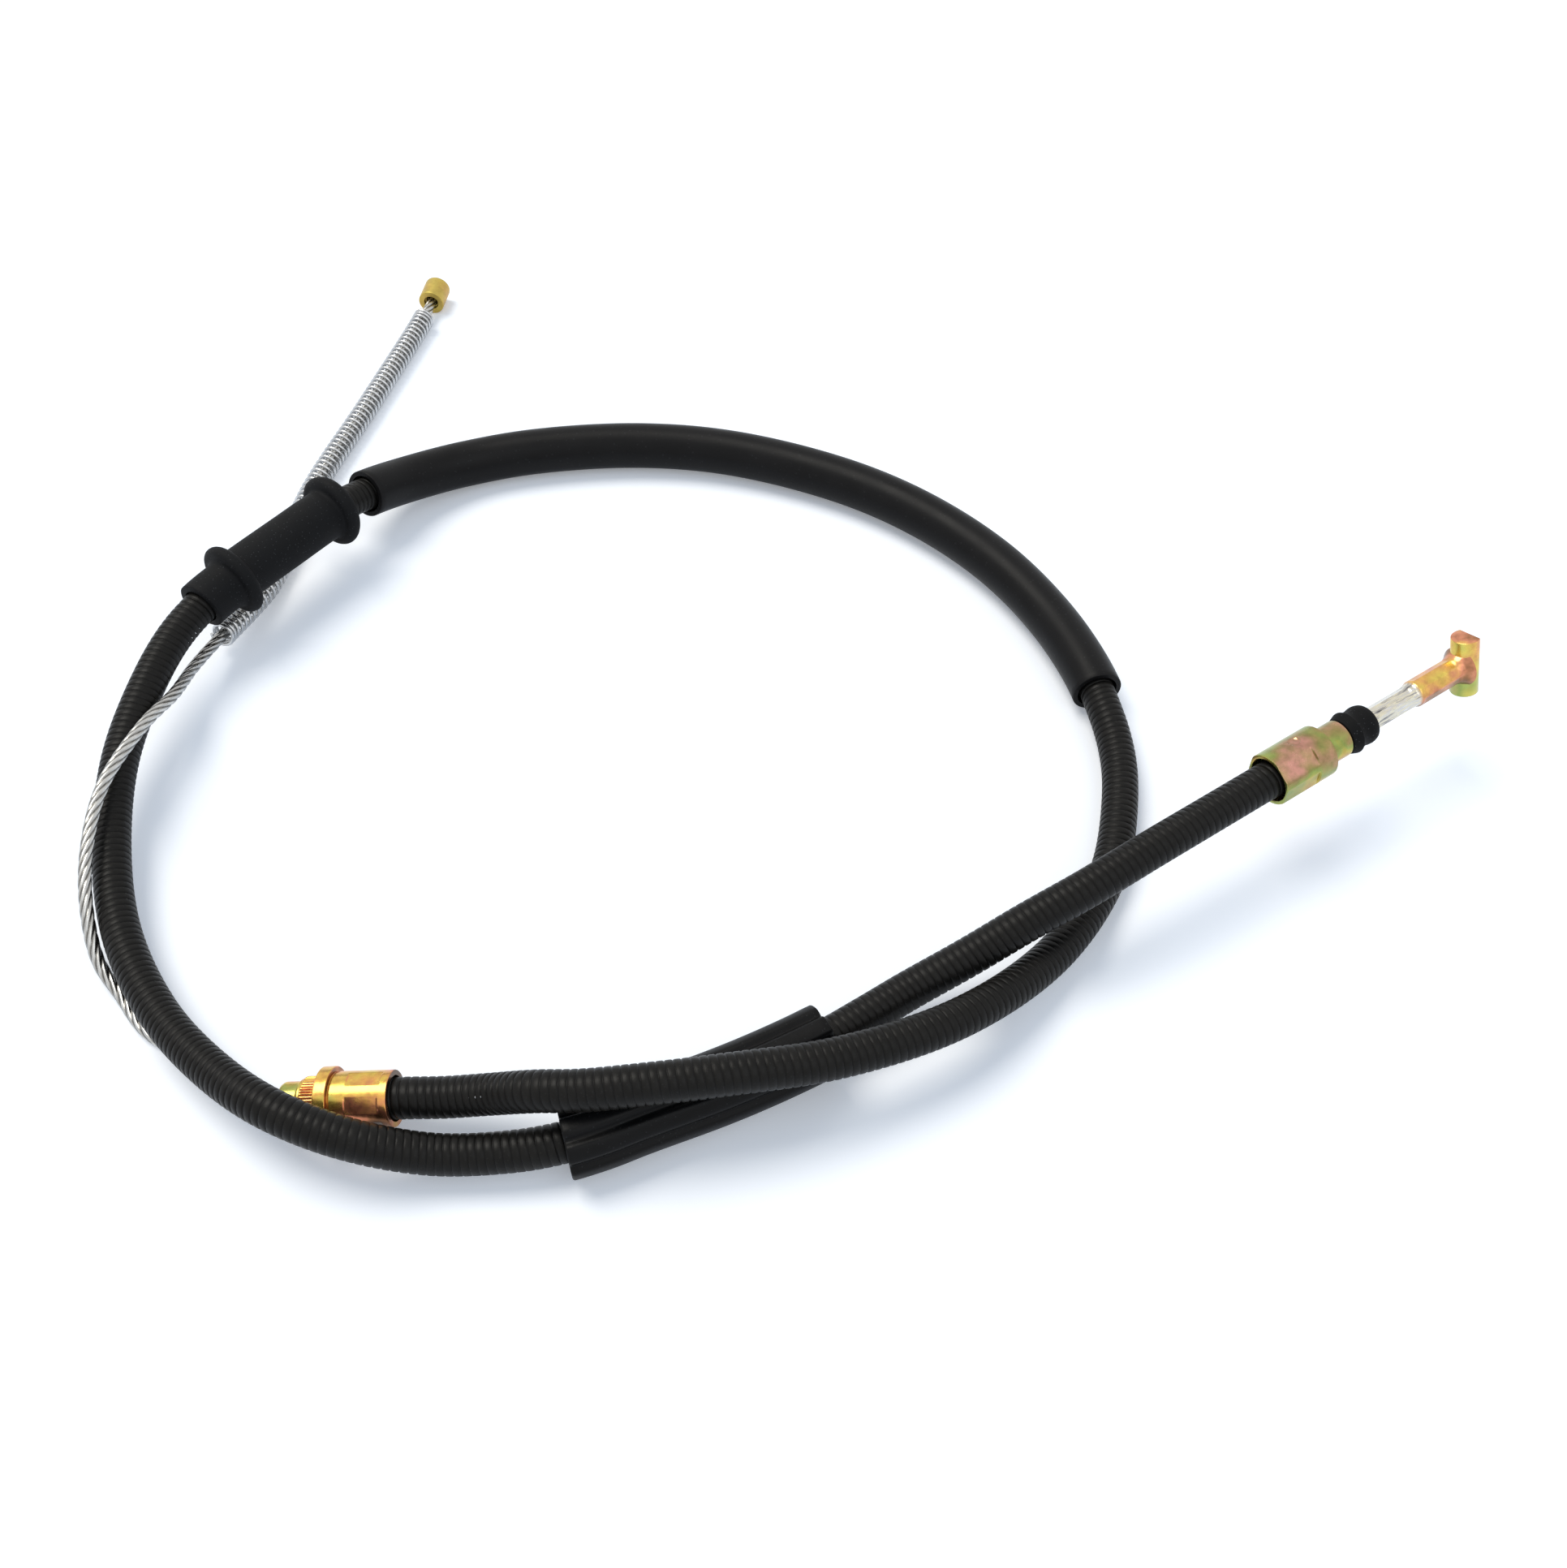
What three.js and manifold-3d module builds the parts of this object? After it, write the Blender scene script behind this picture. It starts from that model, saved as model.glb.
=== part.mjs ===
// Parking brake cable: a ribbed conduit in one loop, its fittings, and the bare strand with a return spring.
// Millimetres, +Z up, resting on z = 0. The arm with the T end points to +X, the nipple to +Y.
import * as THREE from 'three';
import Module from 'manifold-3d';
import { mergeVertices } from 'three/addons/utils/BufferGeometryUtils.js';

const wasm = await Module();
wasm.setup();

// Middle of the footprint, taken off every route point so that the origin is under the part.
const middleX = 2.57;
const middleY = 55.64;

// Layers of the cable, outside radii unless they say otherwise.
const strandRadius = 1.8;
const linerRadius = 2.8;
const linerBore = 2.2;
const armourRadius = 4.4;
const armourBore = 3.2;
const sheathRadius = 5.25;
const sheathBore = 4.76;
const gap = 0.3;

// T end: a D-section bar across the strand, a shank with pressed flats, and a swaged barrel.
const barRadius = 4;
const barLength = 18.2;
const barFlat = 1.8;
const barLean = 18;
const shankRadius = 3.95;
const shankEnd = 21;
const shankFlat = 3.72;
const barrelRadius = 3.4;
const barrelFlat = 3.02;
const barrelEnd = 55.5;
const wireStart = 8;
const frontWireEnd = 95;

// Ferrule on the arm, with the dust seal that clips over its neck.
const sealStart = 38.4;
const sealEnd = 48.5;
const neckStart = 43.2;
const collarStart = 48.8;
const collarRadius = 5.4;
const shoulderStart = 56.6;
const sleeveRadius = 7.55;
const sleeveEnd = 75.1;
const seatStart = 58.4;
const mouthRadius = 6.4;
const crimpLength = 12.2;
const crimpFlat = 7.02;
const crimpAngles = [-32.5, -92.5, 87.5, 147.5];
const punchRadius = 1.5;
const punchAngle = 20;
const punchPlace = 10.1;

// Lobed protector sleeve, grommet and plain tube around the loop.
const protectorStart = 217.2;
const protectorEnd = 288;
const protectorRadius = 9.8;
const protectorGroove = 8.5;
const protectorBore = 6;
const lobes = 8;
const lobeTurn = 16;
const grommetStart = 558.5;
const grommetFlangeA = 572.2;
const grommetFlangeB = 613.2;
const grommetFlangeRadius = 11.6;
const grommetFlangeWidth = 4.4;
const grommetBodyRadius = 8.15;
const grommetTailRadius = 7.7;
const tubeStart = 628.5;
const tubeEnd = 928.3;
const tubeRadius = 7.6;
const tubeBore = 6.05;

// Ferrule at the bare strand, lengths measured from its tail.
const bodyRadius = 7.1;
const bodyLength = 15.2;
const bodyMouth = 5.75;
const bodyFlat = 6.7;
const bodyCrimpStart = 2.1;
const bodyCrimpEnd = 10.9;
const flangeRadius = 8.4;
const flangeWidth = 3.3;
const splineRadius = 6.1;
const splineRoot = 5.78;
const splineLength = 4.4;
const splineTeeth = 48;
const ringRadius = 5.5;
const ringWidth = 1.2;
const noseRadius = 4.9;
const noseLength = 5.5;
const noseBore = 3.15;

// Return spring and the nipple that ends the strand.
const coilRadius = 3.4;
const coilWire = 0.55;
const coilPitch = 2.32;
const closedTurns = 2;
const closedPitch = 1.45;
const coilStart = 1451.2;
const coilEnd = 1627;
const nippleStart = 1636;
const nippleLength = 9.6;
const nippleRadius = 4.7;
const nippleRecess = 2.5;

// Route of the strand's centre line. Each run goes on where the one before it ends.
const hook = new THREE.Vector3(194.5, 17, 33.3);
const root = new THREE.Vector3(97.4, -46.7, 29);
const crimpTail = new THREE.Vector3(-96.2, -111.3, 11.4);
const crimpNose = new THREE.Vector3(-126.2, -109.7, 7);
const loopRun = [
  [79.5, -57.5, 26.3], [63.5, -65, 21.5], [48, -72, 15.5], [32.5, -79.5, 11.3],
  [21.5, -86.5, 10.4], [10.8, -93.4, 10.1], [-2.9, -101, 10.1], [-17, -107.8, 10.1],
  [-36.2, -115.8, 10.1], [-45, -119.7, 10.1], [-55, -123, 9.9], [-66.5, -124.8, 9.2],
  [-85.5, -125.7, 9.6], [-105, -125, 15.8], [-124, -118.5, 18.2], [-143.5, -104, 14],
  [-162, -84.5, 10.3], [-177.4, -59.5, 9.5], [-186.3, -31.5, 11.5], [-189.8, -2, 15],
  [-186.6, 23.5, 19], [-182.2, 40.5, 20.9], [-176.4, 52.6, 21.9], [-169, 63.2, 22.4],
  [-156.8, 79.6, 22.2], [-144.7, 96.1, 21.3], [-136.3, 108.8, 17.6],
];
const tubeRun = [
  [-125.5, 123.3, 11.5], [-108.5, 135.2, 8.1], [-85, 142.2, 7.8], [-50, 145.4, 7.8],
  [-18, 141.4, 7.8], [19, 127.4, 7.8], [45, 110.4, 7.8], [67.5, 87.5, 7.8], [83.2, 62.1, 7.8],
  [92.4, 38, 8], [96.1, 22, 7.3], [97.9, 9, 6], [97.5, -5, 5.5], [92.3, -31, 5.5],
  [85.5, -46.5, 5.7],
];
const returnRun = [
  [70, -68.2, 8.5], [44, -91.8, 17], [15, -105.4, 21.5], [-13, -112.9, 25.7],
  [-35.5, -116.4, 26.4], [-49, -117, 25], [-60, -115.8, 22.6], [-72.5, -112.6, 15.6],
  [-83.7, -111.7, 12.6],
];
const bareRun = [
  [-137, -107.2, 4.9], [-145, -101.3, 3.5], [-153, -94.5, 2.4], [-166.5, -86, 2.1],
  [-175.5, -75.5, 2.8], [-182.4, -67.2, 6.5], [-186.3, -55.5, 14], [-188.7, -39.5, 19.5],
  [-188.5, -19.5, 22.5], [-182.8, 4, 21.8], [-179.2, 20, 17], [-178.3, 37.5, 11],
  [-174, 55, 7.2], [-169.5, 68, 5.2], [-165.5, 79.5, 4.4], [-163, 95.5, 4.2],
  [-159.5, 125.5, 4.2], [-147.5, 172, 4.2], [-134.4, 225, 4.4], [-132.8, 235, 4.75],
  [-130.9, 246.5, 4.85],
];

function along(from, to, fractions) {
  return fractions.map((t) => from.clone().lerp(to, t));
}

const routePoints = [
  ...along(hook, root, [0, 0.33, 0.66, 0.83, 1]),
  ...[...loopRun, ...tubeRun, ...returnRun].map((p) => new THREE.Vector3(...p)),
  ...along(crimpTail, crimpNose, [-0.13, 0, 0.5, 1, 1.1]),
  ...bareRun.map((p) => new THREE.Vector3(...p)),
].map((p) => p.sub(new THREE.Vector3(middleX, middleY, 0)));
const route = new THREE.CatmullRomCurve3(routePoints);
route.arcLengthDivisions = 3300;
const routeLength = route.getLength();

function pointOn(s) {
  return route.getPointAt(THREE.MathUtils.clamp(s / routeLength, 0, 1));
}

function tangentOn(s) {
  return route.getTangentAt(THREE.MathUtils.clamp(s / routeLength, 0, 1));
}

// Distance along the route of the place nearest to a point.
function stationOf(point) {
  const target = point.clone().sub(new THREE.Vector3(middleX, middleY, 0));
  let best = 0;
  let nearest = Infinity;
  for (let s = 0; s < routeLength; s += 0.25) {
    const distance = pointOn(s).distanceTo(target);
    if (distance < nearest) {
      nearest = distance;
      best = s;
    }
  }
  return best;
}

const tailB = stationOf(crimpTail);
const flangeB = tailB + bodyLength;
const splineB = flangeB + flangeWidth;
const ringB = splineB + splineLength;
const noseB = ringB + ringWidth;
const tipB = noseB + noseLength;

// Rings shared by all layers, closer together where the route bends, so that no layer crosses the next.
const longestStep = 30;
const largestBow = 0.55;
const grommetEnd = grommetFlangeB + grommetFlangeWidth / 2 - 0.4;
const marks = [
  seatStart + gap, protectorStart, protectorEnd, grommetStart, grommetEnd, tubeStart, tubeEnd,
  tailB, tipB, nippleStart + nippleLength,
];
const stations = [seatStart + gap];
for (let i = 1; i < marks.length; i += 1) {
  let last = marks[i - 1];
  let turned = 0;
  for (let s = last + 1; s < marks[i] - 5; s += 1) {
    turned += tangentOn(s - 1).angleTo(tangentOn(s));
    const span = s - last;
    const radiusShare = s > tipB ? 2.2 : 1;
    if (span * radiusShare > longestStep || (span * turned) / 8 > largestBow) {
      stations.push(s);
      last = s;
      turned = 0;
    }
  }
  stations.push(marks[i]);
}

const ringNormals = [new THREE.Vector3(0, 0, 1).cross(tangentOn(stations[0])).normalize()];
for (let i = 1; i < stations.length; i += 1) {
  const turn = new THREE.Quaternion().setFromUnitVectors(tangentOn(stations[i - 1]), tangentOn(stations[i]));
  ringNormals.push(ringNormals[i - 1].clone().applyQuaternion(turn).normalize());
}

function normalOn(s) {
  let nearest = 0;
  for (let i = 1; i < stations.length; i += 1) {
    if (Math.abs(stations[i] - s) < Math.abs(stations[nearest] - s)) {
      nearest = i;
    }
  }
  const turn = new THREE.Quaternion().setFromUnitVectors(tangentOn(stations[nearest]), tangentOn(s));
  return ringNormals[nearest].clone().applyQuaternion(turn).normalize();
}

// One stretch of the route as an extrusion path that keeps to the shared rings.
class Stretch extends THREE.Curve {
  constructor(from, to) {
    super();
    this.stops = [from, ...stations.filter((s) => s > from + 1.5 && s < to - 1.5), to];
  }

  getSpacedPoints() {
    return this.stops.map((s) => pointOn(s));
  }

  computeFrenetFrames() {
    const tangents = this.stops.map((s) => tangentOn(s));
    const normals = this.stops.map((s) => normalOn(s));
    const binormals = tangents.map((t, i) => new THREE.Vector3().crossVectors(t, normals[i]));
    return { tangents, normals, binormals };
  }
}

function outline(sides, radiusAt) {
  const points = [];
  for (let i = 0; i < sides; i += 1) {
    const angle = (i / sides) * Math.PI * 2;
    const radius = radiusAt(angle);
    points.push(new THREE.Vector2(radius * Math.cos(angle), radius * Math.sin(angle)));
  }
  return points;
}

function sweep(from, to, outer, inner) {
  const shape = new THREE.Shape(outer);
  if (inner) {
    shape.holes.push(new THREE.Path(inner));
  }
  const path = new Stretch(from, to);
  return new THREE.ExtrudeGeometry(shape, { steps: path.stops.length - 1, extrudePath: path });
}

// A bore cutter that runs on to the next rings outside both ends.
function sweepPast(from, to, outer) {
  const before = stations.filter((s) => s < from - 1.5).pop();
  const after = stations.find((s) => s > to + 1.5);
  return sweep(before, after, outer);
}

function circle(sides, radius) {
  return outline(sides, () => radius);
}

// A round corner of a turned profile, from one angle to another in degrees.
function corner(x, y, radius, from, to, steps) {
  const points = [];
  for (let i = 0; i <= steps; i += 1) {
    const angle = THREE.MathUtils.degToRad(from + ((to - from) * i) / steps);
    points.push([x + radius * Math.cos(angle), y + radius * Math.sin(angle)]);
  }
  return points;
}

function turned(profile, segments = 24) {
  return new THREE.LatheGeometry(profile.map(([r, y]) => new THREE.Vector2(Math.max(r, 0), y)), segments);
}

function rod(radius, from, to, segments = 24) {
  return turned([[0, from], [radius, from], [radius, to], [0, to]], segments);
}

// Boxes that plane flats on a round body whose axis is Y, at angles in degrees.
function flatCutters(angles, apothem, from, to) {
  return angles.map((angle) => {
    const box = new THREE.BoxGeometry(30, to - from, 8);
    box.translate(0, (from + to) / 2, apothem + 4);
    box.rotateY(THREE.MathUtils.degToRad(angle));
    return box;
  });
}

function evenly(count, first) {
  return Array.from({ length: count }, (_, i) => first + (i * 360) / count);
}

function toManifold(geometry) {
  const bare = geometry.clone();
  bare.deleteAttribute('normal');
  bare.deleteAttribute('uv');
  const merged = mergeVertices(bare, 1e-4);
  const mesh = new wasm.Mesh({
    numProp: 3,
    vertProperties: new Float32Array(merged.attributes.position.array),
    triVerts: new Uint32Array(merged.index.array),
  });
  return new wasm.Manifold(mesh);
}

function fromManifold(manifold) {
  const mesh = manifold.getMesh();
  const geometry = new THREE.BufferGeometry();
  geometry.setAttribute('position', new THREE.BufferAttribute(new Float32Array(mesh.vertProperties), 3));
  geometry.setIndex(new THREE.BufferAttribute(new Uint32Array(mesh.triVerts), 1));
  return geometry;
}

function build(added, removed = []) {
  let solid = toManifold(added[0]);
  for (const geometry of added.slice(1)) {
    solid = solid.add(toManifold(geometry));
  }
  for (const geometry of removed) {
    solid = solid.subtract(toManifold(geometry));
  }
  return fromManifold(solid);
}

// Stands a turned geometry on the route: its Y axis follows the strand away from the T end.
function standOn(geometry, s, lean = 0) {
  const tangent = tangentOn(s);
  const side = new THREE.Vector3().crossVectors(tangent, new THREE.Vector3(0, 0, 1)).normalize();
  const upright = new THREE.Vector3().crossVectors(side, tangent);
  const place = new THREE.Matrix4().makeBasis(side, tangent, upright);
  geometry.rotateY(lean);
  geometry.applyMatrix4(place);
  const at = pointOn(s);
  geometry.translate(at.x, at.y, at.z);
  return geometry;
}

const part = new THREE.Group();
part.name = 'parking_brake_cable';

function addPiece(name, geometry, color, roughness, metalness) {
  const bare = geometry.clone();
  bare.deleteAttribute('uv');
  bare.deleteAttribute('normal');
  const solid = mergeVertices(bare, 1e-4);
  solid.computeVertexNormals();
  const material = new THREE.MeshStandardMaterial({ color, roughness, metalness, flatShading: true });
  material.name = name;
  const mesh = new THREE.Mesh(solid, material);
  mesh.name = name;
  part.add(mesh);
}

// T end. The bar stands across the strand and leans out to the side.
const lean = THREE.MathUtils.degToRad(barLean);
const bar = new THREE.CylinderGeometry(barRadius, barRadius, barLength, 28);
bar.rotateX(Math.PI / 2);
const barFace = new THREE.BoxGeometry(20, 10, barLength + 2);
barFace.translate(0, -barFlat - 5, 0);
const shank = turned([
  [0, 0], [5, 0], ...corner(6.15, 5.2, 2.2, 225, 180, 3), [shankRadius, shankEnd - 0.5],
  [shankRadius - 0.5, shankEnd], [0, shankEnd],
]);
const barrel = turned([
  [0, shankEnd - 3], [barrelRadius, shankEnd - 3], [barrelRadius, barrelEnd - 0.6],
  [barrelRadius - 0.6, barrelEnd], [0, barrelEnd],
]);
const tEnd = build([bar, shank, barrel], [
  barFace,
  ...flatCutters(evenly(8, -2.5), shankFlat, 6.6, shankEnd - 0.9),
  ...flatCutters(evenly(6, -9), barrelFlat, shankEnd + 1.8, sealStart - 1.2),
  rod(strandRadius + 0.5, wireStart - 0.5, barrelEnd + 1, 16),
]);
addPiece('t_end_fitting', standOn(tEnd, 0, lean), '#b98a4a', 0.42, 0.9);

// Dust seal: ridge against the collar, waist, bulge and a lip that wipes the barrel.
const sealLip = sealStart - sealEnd;
const dustSeal = turned([
  [barrelRadius + gap, sealLip], [4.2, sealLip], ...corner(4.3, sealLip + 1.3, 1.3, -70, -5, 4),
  [5.75, sealLip + 3.1], [5.55, sealLip + 4.4], ...corner(6.9, -4.4, 1.4, 200, 140, 3),
  ...corner(5.55, -2.7, 0.7, 20, 0, 1), [6.2, -2.2], [5.3, -0.2], [5.2, 0],
  [4.2 + gap, 0], [4.2 + gap, sealLip + 4.4], [barrelRadius + gap, sealLip + 2.8],
  [barrelRadius + gap, sealLip],
]);
addPiece('dust_seal', standOn(dustSeal, sealEnd), '#1d1c1b', 0.85, 0);

// Ferrule on the arm: neck under the seal, collar, shoulder, crimped sleeve and open mouth.
const neck = neckStart - collarStart;
const step = shoulderStart - collarStart;
const back = sleeveEnd - collarStart;
const seat = seatStart - collarStart;
const ferruleBody = turned([
  [0, neck], [4.2, neck], [4.2, 0], [collarRadius, 0], [collarRadius, step],
  [sleeveRadius - 1, step], ...corner(sleeveRadius - 1, step + 1, 1, -60, 0, 2),
  [sleeveRadius, back - 0.4], [sleeveRadius - 0.4, back], [0, back],
], 32);
const ferruleBore = turned([
  [0, neck - 1], [barrelRadius + gap, neck - 1], [barrelRadius + gap, seat], [sheathRadius + 0.4, seat],
  [sheathRadius + 0.4, back - 6], [mouthRadius, back - 4], [mouthRadius, back + 1], [0, back + 1],
], 32);
const punch = new THREE.CylinderGeometry(punchRadius, punchRadius - 0.25, 1, 16);
punch.rotateX(Math.PI / 2);
punch.translate(0, back - punchPlace, sleeveRadius + 0.1);
punch.rotateY(THREE.MathUtils.degToRad(punchAngle));
const ferruleA = build([ferruleBody], [
  ferruleBore,
  ...flatCutters(crimpAngles, crimpFlat, back - crimpLength, back + 1),
  punch,
]);
addPiece('ferrule_a', standOn(ferruleA, collarStart), '#a89a4e', 0.4, 0.9);

// Conduit: sheath over armour over liner, all whole from ferrule to ferrule.
const conduitEnd = tailB + bodyLength - 1.2;
const sheathShape = [circle(12, sheathRadius), circle(8, sheathBore)];
addPiece('conduit_sheath', sweep(seatStart + gap, conduitEnd, ...sheathShape), '#242321', 0.55, 0);
const armourShape = [circle(8, armourRadius), circle(8, armourBore)];
addPiece('conduit_armour', sweep(seatStart + gap, conduitEnd, ...armourShape), '#8c8f92', 0.4, 1);
const linerShape = [circle(8, linerRadius), circle(8, linerBore)];
addPiece('conduit_liner', sweep(seatStart + gap, tipB - 1, ...linerShape), '#d9d6cc', 0.5, 0);

// Strand: the first stretch is fast in the T end, the rest runs on to the nipple.
addPiece('inner_wire_front', sweep(wireStart, frontWireEnd, circle(8, strandRadius)), '#a7aaad', 0.3, 1);
const nippleBoreEnd = nippleStart + nippleLength - 2.2;
const innerWire = sweep(frontWireEnd + gap, nippleBoreEnd - gap, circle(8, strandRadius));
addPiece('inner_wire', innerWire, '#a7aaad', 0.3, 1);

// Protector sleeve with wide lobes and narrow grooves along it.
const lobeDepth = protectorRadius - protectorGroove;
const firstGroove = THREE.MathUtils.degToRad(lobeTurn);

function grooveShare(angle) {
  return Math.cos((lobes / 2) * (angle - firstGroove)) ** 8;
}

const lobed = outline(lobes * 8, (a) => protectorRadius - lobeDepth * grooveShare(a));
const protector = sweep(protectorStart, protectorEnd, lobed, circle(12, protectorBore));
addPiece('ribbed_sleeve', protector, '#1b1a1a', 0.7, 0);

// Grommet: two thick flanges on one body, with a tail that grips the conduit.
function flangeDisc(s) {
  const half = grommetFlangeWidth / 2;
  const round = 1.8;
  const edge = grommetFlangeRadius - round;
  const disc = turned([
    [0, -half], ...corner(edge, -half + round, round, -90, 0, 3),
    ...corner(edge, half - round, round, 0, 90, 3), [0, half],
  ]);
  return standOn(disc, s);
}
const grommet = build([
  sweep(grommetFlangeA, grommetEnd, circle(16, grommetBodyRadius)),
  sweep(grommetStart, grommetFlangeA, circle(16, grommetTailRadius)),
  flangeDisc(grommetFlangeA),
  flangeDisc(grommetFlangeB),
], [sweepPast(grommetStart, grommetEnd, circle(12, sheathRadius + 0.5))]);
addPiece('grommet', grommet, '#1c1c1c', 0.9, 0);

// Plain protective tube over the far side of the loop.
const tube = sweep(tubeStart, tubeEnd, circle(16, tubeRadius), circle(12, tubeBore));
addPiece('protective_tube', tube, '#201f1f', 0.5, 0);

// Ferrule at the bare strand: crimped body, flange, splines, ring and rounded nose.
const crimpedBody = turned([
  [0, 0], [bodyRadius - 0.3, 0], [bodyRadius, 0.3], [bodyRadius, bodyLength],
  [flangeRadius - 0.3, bodyLength], [flangeRadius, bodyLength + 0.4],
  [flangeRadius, bodyLength + flangeWidth], [splineRoot - 0.6, bodyLength + flangeWidth],
  [splineRoot - 0.6, ringB - tailB], [ringRadius, ringB - tailB], [ringRadius, ringB - tailB + 0.5],
  [noseRadius, noseB - tailB], ...corner(noseRadius - 1.4, tipB - tailB - 1.4, 1.4, 0, 90, 3),
  [0, tipB - tailB],
], 32);
const toothed = new THREE.Shape(outline(splineTeeth * 2, () => splineRadius).map((p, i) => (
  i % 2 ? p : p.multiplyScalar(splineRoot / splineRadius)
)));
const splines = new THREE.ExtrudeGeometry(toothed, { depth: splineLength + 0.2, bevelEnabled: false });
splines.rotateX(-Math.PI / 2);
splines.translate(0, bodyLength + flangeWidth - 0.2, 0);
const ferruleBBore = turned([
  [0, -1], [bodyMouth, -1], [bodyMouth, bodyLength - 0.9], [noseBore, bodyLength - 0.9],
  [noseBore, tipB - tailB + 1], [0, tipB - tailB + 1],
], 28);
const ferruleB = build([crimpedBody, splines], [
  ferruleBBore,
  ...flatCutters(evenly(6, 17), bodyFlat, bodyCrimpStart, bodyCrimpEnd),
]);
addPiece('ferrule_b', standOn(ferruleB, tailB), '#cdb24a', 0.38, 0.9);

// Return spring: a real coil of round wire around the strand, with its end coils drawn together.
class Coil extends THREE.Curve {
  constructor(from, to) {
    super();
    this.from = from;
    this.to = to;
    this.drawn = closedTurns * closedPitch;
    this.openLength = to - from - 2 * this.drawn;
    this.openTurns = Math.round(this.openLength / coilPitch);
    this.turns = this.openTurns + 2 * closedTurns;
  }

  turnsAt(distance) {
    if (distance < this.drawn) {
      return distance / closedPitch;
    }
    const open = distance - this.drawn;
    if (open < this.openLength) {
      return closedTurns + (open / this.openLength) * this.openTurns;
    }
    return closedTurns + this.openTurns + (open - this.openLength) / closedPitch;
  }

  getPoint(t) {
    const distance = (this.to - this.from) * t;
    const s = this.from + distance;
    const angle = this.turnsAt(distance) * Math.PI * 2;
    const tangent = tangentOn(s);
    const side = new THREE.Vector3(0, 0, 1).cross(tangent).normalize();
    const upright = new THREE.Vector3().crossVectors(side, tangent);
    return pointOn(s)
      .addScaledVector(side, coilRadius * Math.cos(angle))
      .addScaledVector(upright, coilRadius * Math.sin(angle));
  }
}
const coil = new Coil(coilStart, coilEnd);
coil.arcLengthDivisions = Math.ceil(coil.turns * 12);
const spring = new THREE.ExtrudeGeometry(new THREE.Shape(circle(5, coilWire)), {
  steps: Math.ceil(coil.turns * 7),
  extrudePath: coil,
});
addPiece('return_spring', spring, '#b4b6b7', 0.28, 1);

// Nipple: a plain drum pressed on the end of the strand, with a shallow recess round it.
const nipple = build([turned([
  [0, 0], [nippleRadius - 0.3, 0], [nippleRadius, 0.3], [nippleRadius, nippleLength - 0.3],
  [nippleRadius - 0.3, nippleLength], [0, nippleLength],
])], [
  rod(strandRadius + 0.45, -1, nippleLength - 2.2, 16),
  rod(nippleRecess, -1, 1.3, 20),
]);
addPiece('end_nipple', standOn(nipple, nippleStart), '#b39a52', 0.5, 0.9);

export default part;
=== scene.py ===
import bpy
import math
import numpy as np
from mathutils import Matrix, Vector


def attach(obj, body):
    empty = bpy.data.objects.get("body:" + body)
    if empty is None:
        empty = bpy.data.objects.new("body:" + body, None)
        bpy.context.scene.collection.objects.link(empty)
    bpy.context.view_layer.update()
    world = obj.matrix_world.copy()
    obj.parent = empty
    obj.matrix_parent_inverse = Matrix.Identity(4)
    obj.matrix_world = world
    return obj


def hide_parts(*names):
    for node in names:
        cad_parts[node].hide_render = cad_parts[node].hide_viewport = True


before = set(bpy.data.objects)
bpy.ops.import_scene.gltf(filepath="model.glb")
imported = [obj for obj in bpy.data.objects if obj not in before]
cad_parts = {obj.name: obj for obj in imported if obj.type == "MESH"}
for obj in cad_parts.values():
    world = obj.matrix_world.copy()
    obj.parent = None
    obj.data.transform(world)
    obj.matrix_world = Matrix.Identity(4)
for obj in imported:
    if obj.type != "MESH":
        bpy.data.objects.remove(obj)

scene = bpy.context.scene
scene.view_settings.view_transform = "Standard"
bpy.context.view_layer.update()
middle = np.array([0.00257, 0.05564, 0.0])  # middle of the footprint on the table

print("camera")
view = {"back": 0.3298, "height": 0.3930, "tilt": 40, "focus": 2150, "picture": 1931, "sensor": 36}
camData = bpy.data.cameras.new("camera")
camera = bpy.data.objects.new("camera", camData)
scene.collection.objects.link(camera)
camData.sensor_width = view["sensor"]
camData.lens = view["focus"] * view["sensor"] / view["picture"]
camData.clip_start = 0.01
camera.location = (-middle[0], -view["back"] - middle[1], view["height"])
camera.rotation_euler = (math.radians(view["tilt"]), 0, 0)
scene.camera = camera

print("route")
hook = np.array([0.1945, 0.017, 0.0333])
armRoot = np.array([0.0974, -0.0467, 0.029])
crimpTail = np.array([-0.0962, -0.1113, 0.0114])
crimpNose = np.array([-0.1262, -0.1097, 0.007])
loopRun = [
    (0.0795, -0.0575, 0.0263), (0.0635, -0.065, 0.0215), (0.048, -0.072, 0.0155),
    (0.0325, -0.0795, 0.0113), (0.0215, -0.0865, 0.0104), (0.0108, -0.0934, 0.0101),
    (-0.0029, -0.101, 0.0101), (-0.017, -0.1078, 0.0101), (-0.0362, -0.1158, 0.0101),
    (-0.045, -0.1197, 0.0101), (-0.055, -0.123, 0.0099), (-0.0665, -0.1248, 0.0092),
    (-0.0855, -0.1257, 0.0096), (-0.105, -0.125, 0.0158), (-0.124, -0.1185, 0.0182),
    (-0.1435, -0.104, 0.014), (-0.162, -0.0845, 0.0103), (-0.1774, -0.0595, 0.0095),
    (-0.1863, -0.0315, 0.0115), (-0.1898, -0.002, 0.015), (-0.1866, 0.0235, 0.019),
    (-0.1822, 0.0405, 0.0209), (-0.1764, 0.0526, 0.0219), (-0.169, 0.0632, 0.0224),
    (-0.1568, 0.0796, 0.0222), (-0.1447, 0.0961, 0.0213), (-0.1363, 0.1088, 0.0176)]
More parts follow.
